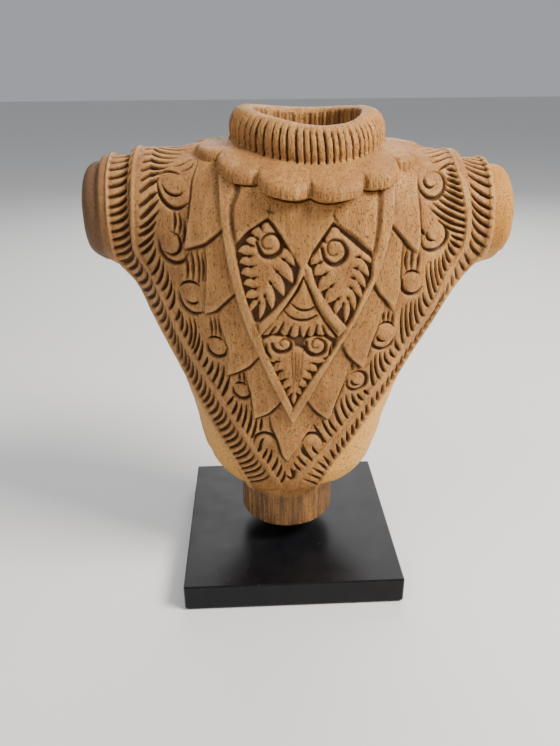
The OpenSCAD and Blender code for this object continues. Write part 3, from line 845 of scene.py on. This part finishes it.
def blur(grid, reach):
    """Box blur, twice, over 2 * reach + 1 cells each way."""
    size = 2 * reach + 1
    for _ in range(2):
        for axis in (0, 1):
            pad = [(0, 0), (0, 0)]
            pad[axis] = (reach + 1, reach)
            total = np.cumsum(np.pad(grid.astype(np.float64), pad, "edge"), axis)
            grid = (np.take(total, range(size, total.shape[axis]), axis)
                    - np.take(total, range(total.shape[axis] - size), axis)) / size
    return grid


def sample(grid, x, v):
    """Value of the grid at (x, v), between its cells."""
    i = np.clip((x - X_LOW) / CELL, 0, len(XS) - 1.001)
    j = np.clip((v - V_LOW) / CELL, 0, len(VS) - 1.001)
    i0, j0 = i.astype(int), j.astype(int)
    fi, fj = i - i0, j - j0
    return (
        grid[j0, i0] * (1 - fi) * (1 - fj) + grid[j0, i0 + 1] * fi * (1 - fj)
        + grid[j0 + 1, i0] * (1 - fi) * fj + grid[j0 + 1, i0 + 1] * fi * fj
    )


# ---------------------------------------------------------------- meshing the block

def surface_nets(cell):
    """Quads around the block's surface, one vertex per grid cell that it crosses."""
    # a box a little larger than the block
    low = np.array([-84.0, -48.0, 8.0])
    high = np.array([93.0, 48.0, 200.0])
    count = np.ceil((high - low) / cell).astype(int) + 1
    axes = [low[k] + cell * np.arange(count[k]) for k in range(3)]
    field = np.empty(count)
    for i in range(count[0]):
        y, z = np.meshgrid(axes[1], axes[2], indexing="ij")
        field[i] = block(np.full(y.shape, axes[0][i]), y, z)
    solid = field < 0
    corners = [(a, b, c) for a in (0, 1) for b in (0, 1) for c in (0, 1)]
    n = count - 1
    total = np.zeros(n, np.int8)
    for a, b, c in corners:
        total += solid[a : a + n[0], b : b + n[1], c : c + n[2]]
    ids = np.argwhere((total > 0) & (total < 8))
    number = np.full(n, -1, np.int64)
    number[tuple(ids.T)] = np.arange(len(ids))
    point_sum = np.zeros((len(ids), 3))
    hits = np.zeros(len(ids))
    for a in corners:
        for b in corners:
            step = np.subtract(b, a)
            if step.sum() != 1 or np.abs(step).sum() != 1:
                continue
            fa = field[tuple((ids + a).T)]
            fb = field[tuple((ids + b).T)]
            cross = (fa < 0) != (fb < 0)
            t = np.where(cross, fa / np.where(cross, fa - fb, 1), 0)
            point = np.array(a) + t[:, None] * step
            point_sum[cross] += point[cross]
            hits[cross] += 1
    verts = low + cell * (ids + point_sum / hits[:, None])
    quads = []
    for axis in range(3):
        u, w = [k for k in range(3) if k != axis]
        shift = [0, 0, 0]
        shift[axis] = 1
        s0 = solid[tuple(slice(0, count[k] - shift[k]) for k in range(3))]
        s1 = solid[tuple(slice(shift[k], count[k]) for k in range(3))]
        edge = np.argwhere(s0 != s1)
        edge = edge[(edge[:, u] > 0) & (edge[:, w] > 0) & (edge[:, u] < n[u]) & (edge[:, w] < n[w])]
        flip = s0[tuple(edge.T)]
        ring_cells = []
        for du, dw in ((0, 0), (-1, 0), (-1, -1), (0, -1)):
            c = edge.copy()
            c[:, u] += du
            c[:, w] += dw
            ring_cells.append(number[tuple(c.T)])
        q = np.stack(ring_cells, 1)
        turn = flip if axis != 1 else ~flip
        q[~turn] = q[~turn][:, ::-1]
        quads.append(q)
    return verts, np.vstack(quads)


def new_mesh(name, verts, quads):
    mesh = bpy.data.meshes.new(name)
    mesh.vertices.add(len(verts))
    mesh.vertices.foreach_set("co", np.asarray(verts, np.float32).ravel())
    mesh.loops.add(quads.size)
    mesh.loops.foreach_set("vertex_index", quads.astype(np.int32).ravel())
    mesh.polygons.add(len(quads))
    mesh.polygons.foreach_set("loop_start", (np.arange(len(quads)) * 4).astype(np.int32))
    mesh.update(calc_edges=True)
    return mesh


def refine(verts, quads, levels):
    """Catmull-Clark subdivision, so that the carving has room for its detail."""
    mesh = new_mesh("coarse", verts, quads)
    ob = bpy.data.objects.new("coarse", mesh)
    bpy.context.scene.collection.objects.link(ob)
    mod = ob.modifiers.new("subdivide", "SUBSURF")
    mod.levels = levels
    mod.render_levels = levels
    fine = bpy.data.meshes.new_from_object(ob.evaluated_get(bpy.context.evaluated_depsgraph_get()))
    v = np.empty(len(fine.vertices) * 3, np.float32)
    fine.vertices.foreach_get("co", v)
    f = np.empty(len(fine.loops), np.int32)
    fine.loops.foreach_get("vertex_index", f)
    bpy.data.objects.remove(ob)
    bpy.data.meshes.remove(mesh)
    bpy.data.meshes.remove(fine)
    return v.reshape(-1, 3).astype(float), f.reshape(-1, 4)


def wobble(p, size, seed):
    """Smooth random unevenness from a few sine waves."""
    rng = np.random.default_rng(seed)
    total = np.zeros(len(p))
    for _ in range(7):
        k = rng.normal(0, 1, 3)
        k *= 2 * math.pi / (size * rng.uniform(0.7, 1.6)) / np.linalg.norm(k)
        total += np.sin(p @ k + rng.uniform(0, 6.3))
    return total / 2.6


RIBS = 68


def carve(p, normal):
    """How far each point moves along its normal, how deep it lies in a cut (where the wood is darkened by
    grime and painted shade), and whether it is belly.
    """
    x, y, z = p.T
    za = lean(x, z)
    relief, deep, bare = draw_relief()
    v = unroll(x, y, z)
    h = sample(relief, x, v)
    cut = sample(deep, x, v)
    r, ang = neck_polar(x, y)
    d_yoke = yoke(x, y, za)
    d_ring = ring(x, y, za)
    d_tenon = tenon(x, y, z)
    d_pocket = pocket(x, y, z)
    clear = ramp(np.minimum(np.abs(d_yoke), np.abs(d_ring)), 0.25, 0.9)
    clear *= ramp(d_tenon, 0.2, 1.2) * ramp(d_pocket, 0.4, 1.4)
    clear *= ramp(np.hypot(x, y), 5, 6) + ramp(z, 60.5, 62)
    clear = np.clip(clear, 0, 1)
    # the flat ends and the last of the stubs stay plain
    clear *= 1 - ramp(np.abs(normal[:, 0]), 0.93, 0.99)
    h = h * clear
    cut = cut * clear
    # ribs on the neck ring
    low = za - ring_height(ang)
    on_ring = ramp(-np.abs(d_ring), -0.9, -0.2) * ramp(r, 21.8, 24.0) * ramp(low, -9.0, -7.4)
    sway = (0.03 + 0.06 * np.sin(ang * 3 + 1)) * (za - 186)
    phase = ang * RIBS / 2 - 5 * np.cos(ang) + 0.4 * np.sin(ang * 5) + 0.35 * np.sin(ang * 17 + 1) + sway
    narrow = 0.48 + 0.1 * np.sin(ang * 13 + 2) + 0.08 * np.sin(ang * 37)
    valley = ramp(1 - np.abs(np.sin(phase)), narrow, 1.02) * (1 - ramp(low, 5.6, 7.8))
    rib_depth = 1.8 + 0.4 * np.sin(ang * 9 + 1) + 0.4 * np.sin(ang * 31)
    h = h - on_ring * (valley * rib_depth + 0.16 * (1 - np.abs(np.sin(phase))) - 0.1)
    scratch = np.abs(np.sin(phase * 2.7 + 1.5 * np.sin(za * 0.7))) ** 12 * 0.22
    h = h - on_ring * scratch
    cut = cut + on_ring * (valley * rib_depth * 1.1 - 0.2)
    # tool marks on the yoke's edge and slight facets everywhere
    edge = ramp(-np.abs(d_yoke), -0.5, -0.1) * (1 - np.abs(normal[:, 2])) ** 2 * ramp(r, 39, 41)
    marks = (np.sin(ang * 150 + 4 * np.sin(ang * 23) + 2 * np.sin(ang * 61)) * 0.5 + 0.5) ** 2
    h = h - edge * marks * 0.3
    cut = cut + edge * marks * 0.25
    # a knife nick where two scallops meet
    on_edge = ramp(r, 38, 43) * ramp(-np.abs(d_yoke), -0.6, -0.1)
    nick = np.clip(1 - 5 * scallop(ang) ** 2, 0, 1) ** 1.5 * on_edge
    h = h - 1.2 * nick
    cut = cut + 0.9 * nick
    # upright tool marks inside the neck, whose whole wall is also darkened by grime and painted shade
    wall = ramp(-np.abs(d_pocket), -0.6, -0.15) * ramp(za, 166, 168)
    gouge = np.sin(ang * 44 + 2 * np.sin(ang * 7)) * np.sin(ang * 19 + 1)
    h = h - 0.3 * wall * gouge
    cut = cut + wall * (0.3 + 0.55 * gouge)
    h = h + 0.07 * wobble(p, 9, 3) + 0.10 * wobble(p, 26, 4)
    return h, cut, sample(bare, x, v) * ramp(z, 30, 33)


def build_torso():
    """Meshes the smooth block, refines it and moves its points into the carving."""
    cell = 1.5 if FINE else 2.0
    verts, quads = surface_nets(cell)
    verts = settle(verts, 2, 0.6)
    verts, quads = refine(verts, quads, 2)
    verts = settle(verts, 2, 0.5)
    _, normal, _ = slope(verts, 0.35)
    h, cut, bare = carve(verts, normal)
    bore = pin_bore(*verts.T) < 0.6
    h[bore] = 0
    verts = verts + normal * h[:, None]
    mesh = new_mesh("torso_carving", (verts + [0, 0, PLATE_TOP]) * MM, quads)
    mesh.polygons.foreach_set("use_smooth", np.ones(len(quads), bool))
    # cavity darkens the hollows with grime and painted shade, and lightens the worn raised edges
    tone = mesh.attributes.new("cavity", "FLOAT", "POINT")
    tone.data.foreach_set("value", np.clip(0.5 + cut / 2.4, 0, 1).astype(np.float32))
    belly = mesh.attributes.new("belly", "FLOAT", "POINT")
    belly.data.foreach_set("value", bare.astype(np.float32))
    ob = bpy.data.objects.new("torso_carving", mesh)
    bpy.context.scene.collection.objects.link(ob)
    return ob


# ---------------------------------------------------------------- materials

class Nodes:
    """Short way to build a node material."""

    def __init__(self, name):
        self.material = bpy.data.materials.new(name)
        self.material.use_nodes = True
        self.tree = self.material.node_tree
        self.tree.nodes.clear()
        self.out = self.add("ShaderNodeOutputMaterial")
        self.shader = self.add("ShaderNodeBsdfPrincipled")
        self.join(self.shader.outputs[0], self.out.inputs["Surface"])

    def add(self, kind, **settings):
        node = self.tree.nodes.new(kind)
        for key, value in settings.items():
            if hasattr(node, key):
                setattr(node, key, value)
            else:
                node.inputs[key.replace("_", " ")].default_value = value
        return node

    def join(self, source, target):
        self.tree.links.new(source, target)

    def coords(self, scale):
        place = self.add("ShaderNodeTexCoord")
        mapping = self.add("ShaderNodeMapping")
        mapping.inputs["Scale"].default_value = scale
        self.join(place.outputs["Object"], mapping.inputs["Vector"])
        return mapping.outputs[0]

    def noise(self, scale, detail=3.0, rough=0.5, coords=None, distortion=0.0):
        node = self.add("ShaderNodeTexNoise")
        node.inputs["Scale"].default_value = scale
        node.inputs["Detail"].default_value = detail
        node.inputs["Roughness"].default_value = rough
        node.inputs["Distortion"].default_value = distortion
        if coords is not None:
            self.join(coords, node.inputs["Vector"])
        return node.outputs["Fac"]

    def curve(self, value, stops):
        node = self.add("ShaderNodeValToRGB")
        ramp_ = node.color_ramp
        while len(ramp_.elements) < len(stops):
            ramp_.elements.new(0.5)
        for element, (position, colour) in zip(ramp_.elements, stops):
            element.position = position
            element.color = (*colour, 1) if len(colour) == 3 else colour
        self.join(value, node.inputs["Fac"])
        return node.outputs["Color"]

    def grey(self, value, low, high, a=0.0, b=1.0):
        node = self.add("ShaderNodeMapRange")
        node.inputs["From Min"].default_value = low
        node.inputs["From Max"].default_value = high
        node.inputs["To Min"].default_value = a
        node.inputs["To Max"].default_value = b
        self.join(value, node.inputs["Value"])
        return node.outputs[0]

    def math(self, operation, a, b):
        node = self.add("ShaderNodeMath", operation=operation)
        for k, value in enumerate((a, b)):
            if isinstance(value, (int, float)):
                node.inputs[k].default_value = value
            else:
                self.join(value, node.inputs[k])
        return node.outputs[0]

    def mix(self, factor, a, b, blend="MIX"):
        node = self.add("ShaderNodeMix", data_type="RGBA", blend_type=blend)
        if isinstance(factor, (int, float)):
            node.inputs[0].default_value = factor
        else:
            self.join(factor, node.inputs[0])
        for socket, value in ((node.inputs[6], a), (node.inputs[7], b)):
            if isinstance(value, tuple):
                socket.default_value = (*value, 1)
            else:
                self.join(value, socket)
        return node.outputs[2]

    def bump(self, height, distance, strength=1.0, before=None):
        node = self.add("ShaderNodeBump")
        node.inputs["Strength"].default_value = strength
        node.inputs["Distance"].default_value = distance
        self.join(height, node.inputs["Height"])
        if before is not None:
            self.join(before, node.inputs["Normal"])
        return node.outputs[0]


# The wood's colours: its grain, then what age and wear did to it, the knife's hollows darkened by grime and
# painted shade, painted shade on the -X side and stub, and painted sunlight on the +X stub
TAN_DARK = (0.290, 0.122, 0.028)
TAN = (0.455, 0.214, 0.059)
TAN_LIGHT = (0.600, 0.306, 0.093)
STREAK = (0.250, 0.098, 0.024)
AGED = (0.205, 0.084, 0.024)
PALE_SPOT = (0.58, 0.31, 0.11)
BELLY_GOLD = (0.86, 0.44, 0.09)
FLECK = (0.22, 0.098, 0.032)
PAINTED_SHADE_SIDE = (0.165, 0.088, 0.044)
PAINTED_SUNLIT_STUB = (0.51, 0.222, 0.034)
DARK_FOOT_AND_STUB_SHADE = (0.108, 0.057, 0.030)
PORE = (0.085, 0.038, 0.014)
WORN_EDGE = (0.64, 0.36, 0.14)
HOLLOW_GRIME_AND_SHADE = (0.055, 0.023, 0.008)


def carved_wood():
    """Old light brown hardwood: grain, pores, hollows darkened by grime and painted shade, worn edges, plain
    belly, and stubs with painted sunlight on +X and painted shade on -X.
    """
    n = Nodes("carved_wood")
    along = n.coords((1000, 1000, 90))
    broad = n.coords((1000, 1000, 1000))
    grain = n.noise(0.55, 4, 0.6, along, 0.6)
    streak = n.noise(0.16, 3, 0.55, along, 0.4)
    patch = n.noise(0.035, 3, 0.55, broad, 0.3)
    mottle = n.noise(0.35, 3, 0.6, broad)
    tan = n.curve(grain, [(0.25, TAN_DARK), (0.5, TAN), (0.75, TAN_LIGHT)])
    warm = n.mix(n.grey(streak, 0.35, 0.7, 0.0, 0.5), tan, STREAK)
    aged = n.mix(n.grey(patch, 0.42, 0.68, 0.0, 0.5), warm, AGED)
    pale = n.mix(n.grey(mottle, 0.55, 0.75, 0.0, 0.25), aged, PALE_SPOT)
    place = n.add("ShaderNodeSeparateXYZ")
    n.join(n.add("ShaderNodeTexCoord").outputs["Object"], place.inputs[0])
    belly = n.add("ShaderNodeAttribute", attribute_name="belly").outputs["Fac"]
    pale = n.mix(n.math("MULTIPLY", belly, 0.8), pale, BELLY_GOLD)
    speckle = n.noise(1.3, 3, 0.65, broad)
    pale = n.mix(n.grey(speckle, 0.42, 0.66, 0.0, 0.32), pale, FLECK)
    # painted shade towards -X, painted sunlight on the +X stub, brown wood with painted shade on the -X
    # stub, and the darker tenon; places in metres
    side = n.grey(place.outputs["X"], 0.01, -0.07, 0.0, 0.32)
    pale = n.mix(side, pale, PAINTED_SHADE_SIDE)
    pale = n.mix(n.grey(place.outputs["X"], 0.0785, 0.083, 0.0, 0.8), pale, PAINTED_SUNLIT_STUB)
    stub = n.grey(place.outputs["X"], -0.070, -0.0755, 0.0, 0.85)
    foot = n.grey(place.outputs["Z"], 0.0435, 0.0395, 0.0, 1.0)
    split = n.noise(0.7, 3, 0.6, n.coords((1000, 1000, 45)))
    bare = n.math("MULTIPLY", foot, n.grey(split, 0.36, 0.60, 0.25, 0.95))
    # the -X stub gets its browner wood and painted shade, the tenon its own darker, split bare wood
    stub_shade_and_dark_foot = n.mix(n.math("MAXIMUM", stub, bare), pale, DARK_FOOT_AND_STUB_SHADE)
    pores = n.noise(2.3, 1.5, 0.5, n.coords((1000, 1000, 340)))
    pore_mask = n.grey(pores, 0.59, 0.67)
    pored = n.mix(n.math("MULTIPLY", pore_mask, 0.85), stub_shade_and_dark_foot, PORE)
    cavity = n.add("ShaderNodeAttribute", attribute_name="cavity").outputs["Fac"]
    worn = n.mix(n.grey(cavity, 0.46, 0.30, 0.0, 0.4), pored, WORN_EDGE)
    # darkest in the hollows: grime and painted shade
    colour = n.mix(n.grey(cavity, 0.55, 0.86, 0.0, 0.94), worn, HOLLOW_GRIME_AND_SHADE)
    n.join(colour, n.shader.inputs["Base Color"])
    rough = n.grey(grain, 0.3, 0.7, 0.62, 0.5)
    n.join(rough, n.shader.inputs["Roughness"])
    n.shader.inputs["Specular IOR Level"].default_value = 0.2
    fine = n.bump(grain, 0.00018, 0.7)
    rough_cut = n.bump(speckle, 0.0005, 0.6, fine)
    n.join(n.bump(pore_mask, -0.00022, 0.8, rough_cut), n.shader.inputs["Normal"])
    return n.material


def black_lacquer():
    n = Nodes("black_lacquer")
    place = n.coords((1000, 1000, 1000))
    cloud = n.noise(0.08, 3, 0.6, place)
    speck = n.noise(1.1, 1, 0.5, place)
    body = n.mix(n.grey(cloud, 0.35, 0.7), (0.004, 0.004, 0.005), (0.007, 0.007, 0.008))
    dust = n.mix(n.math("MULTIPLY", n.grey(speck, 0.80, 0.83), 0.5), body, (0.35, 0.35, 0.34))
    n.join(dust, n.shader.inputs["Base Color"])
    n.join(n.grey(cloud, 0.3, 0.7, 0.26, 0.36), n.shader.inputs["Roughness"])
    n.shader.inputs["Specular IOR Level"].default_value = 0.17
    n.join(n.bump(n.noise(0.9, 3, 0.6, place), 0.00003, 0.5), n.shader.inputs["Normal"])
    return n.material


def pin_steel():
    n = Nodes("pin_steel")
    n.shader.inputs["Metallic"].default_value = 1.0
    turned = n.noise(0.6, 3, 0.6, n.coords((60, 60, 9000)))
    n.join(n.mix(turned, (0.20, 0.20, 0.21), (0.34, 0.34, 0.35)), n.shader.inputs["Base Color"])
    n.join(n.grey(turned, 0.3, 0.7, 0.28, 0.42), n.shader.inputs["Roughness"])
    n.join(n.bump(turned, 0.00002, 0.5), n.shader.inputs["Normal"])
    return n.material


def zinc_steel():
    n = Nodes("zinc_steel")
    n.shader.inputs["Metallic"].default_value = 1.0
    spangle = n.noise(0.5, 4, 0.6, n.coords((1000, 1000, 1000)))
    n.join(n.mix(spangle, (0.48, 0.49, 0.50), (0.66, 0.66, 0.66)), n.shader.inputs["Base Color"])
    n.join(n.grey(spangle, 0.3, 0.7, 0.26, 0.42), n.shader.inputs["Roughness"])
    return n.material


def black_felt():
    n = Nodes("black_felt")
    fibre = n.noise(2.6, 5, 0.75, n.coords((1000, 1000, 1000)), 1.5)
    n.join(n.mix(fibre, (0.012, 0.012, 0.012), (0.05, 0.05, 0.05)), n.shader.inputs["Base Color"])
    n.shader.inputs["Roughness"].default_value = 0.95
    n.shader.inputs["Sheen Weight"].default_value = 0.4
    n.join(n.bump(fibre, 0.0003, 0.9), n.shader.inputs["Normal"])
    return n.material


def assign(ob, material):
    ob.data.materials.clear()
    ob.data.materials.append(material)


# ---------------------------------------------------------------- studio

FLOOR_HALF = 6.0
AIM = Vector((0, 0, 0.11))


def studio():
    """Plain pale floor, soft key light, weaker window and back lights."""
    ground = Nodes("studio_floor")
    ground.shader.inputs["Base Color"].default_value = (0.72, 0.71, 0.69, 1)
    ground.shader.inputs["Roughness"].default_value = 0.7
    mesh = bpy.data.meshes.new("studio_floor")
    s = FLOOR_HALF
    mesh.from_pydata([(-s, -s, 0), (s, -s, 0), (s, s, 0), (-s, s, 0)], [], [(0, 1, 2, 3)])
    floor = bpy.data.objects.new("studio_floor", mesh)
    floor.data.materials.append(ground.material)
    bpy.context.scene.collection.objects.link(floor)
    world = bpy.data.worlds.new("studio")
    world.use_nodes = True
    world.node_tree.nodes["Background"].inputs["Color"].default_value = (0.90, 0.93, 1.0, 1)
    world.node_tree.nodes["Background"].inputs["Strength"].default_value = 0.42
    bpy.context.scene.world = world
    for name, place, size, power, colour in (
        ("key_light", (0.58, -0.28, 0.74), 0.35, 17.5, (1.0, 0.96, 0.90)),
        ("window_light", (-0.55, -0.35, 0.85), 0.6, 3.0, (0.95, 0.97, 1.0)),
        ("back_light", (0.1, 0.7, 0.6), 0.6, 5.0, (1.0, 1.0, 1.0)),
    ):
        light = bpy.data.lights.new(name, "AREA")
        light.size = size
        light.energy = power
        light.color = colour
        ob = bpy.data.objects.new(name, light)
        ob.location = place
        ob.rotation_euler = (AIM - Vector(place)).to_track_quat("-Z", "Y").to_euler()
        bpy.context.scene.collection.objects.link(ob)


def camera():
    """Phone camera a little above the shoulders, looking down 25 degrees."""
    heading, pitch, roll = math.radians(2.442), math.radians(24.75), math.radians(-0.46)
    level_ahead = Vector((math.sin(heading), math.cos(heading), 0))
    ahead = level_ahead * math.cos(pitch) - Vector((0, 0, math.sin(pitch)))
    right = Vector((math.cos(heading), -math.sin(heading), 0))
    up = right.cross(ahead)
    side = right * math.cos(roll) + up * math.sin(roll)
    top = up * math.cos(roll) - right * math.sin(roll)
    data = bpy.data.cameras.new("camera")
    data.sensor_width = 36.0
    data.lens = 31.56
    data.clip_start = 0.01
    ob = bpy.data.objects.new("camera", data)
    place = Vector((-15.62, -277.02, 209.36 + PLATE_TOP)) * MM
    turn = Matrix((side, top, -ahead)).transposed().to_4x4()
    ob.matrix_world = Matrix.Translation(place) @ turn
    bpy.context.scene.collection.objects.link(ob)
    bpy.context.scene.camera = ob


# ---------------------------------------------------------------- the scene

camera()
torso = build_torso()
assign(torso, carved_wood())
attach(torso, "torso")
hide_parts("carved_torso")

steel = zinc_steel()
assign(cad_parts["base_plate"], black_lacquer())
assign(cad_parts["base_felt"], black_felt())
assign(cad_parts["support_pin"], pin_steel())
assign(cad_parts["pin_screw"], steel)
assign(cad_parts["screw_washer"], steel)

studio()
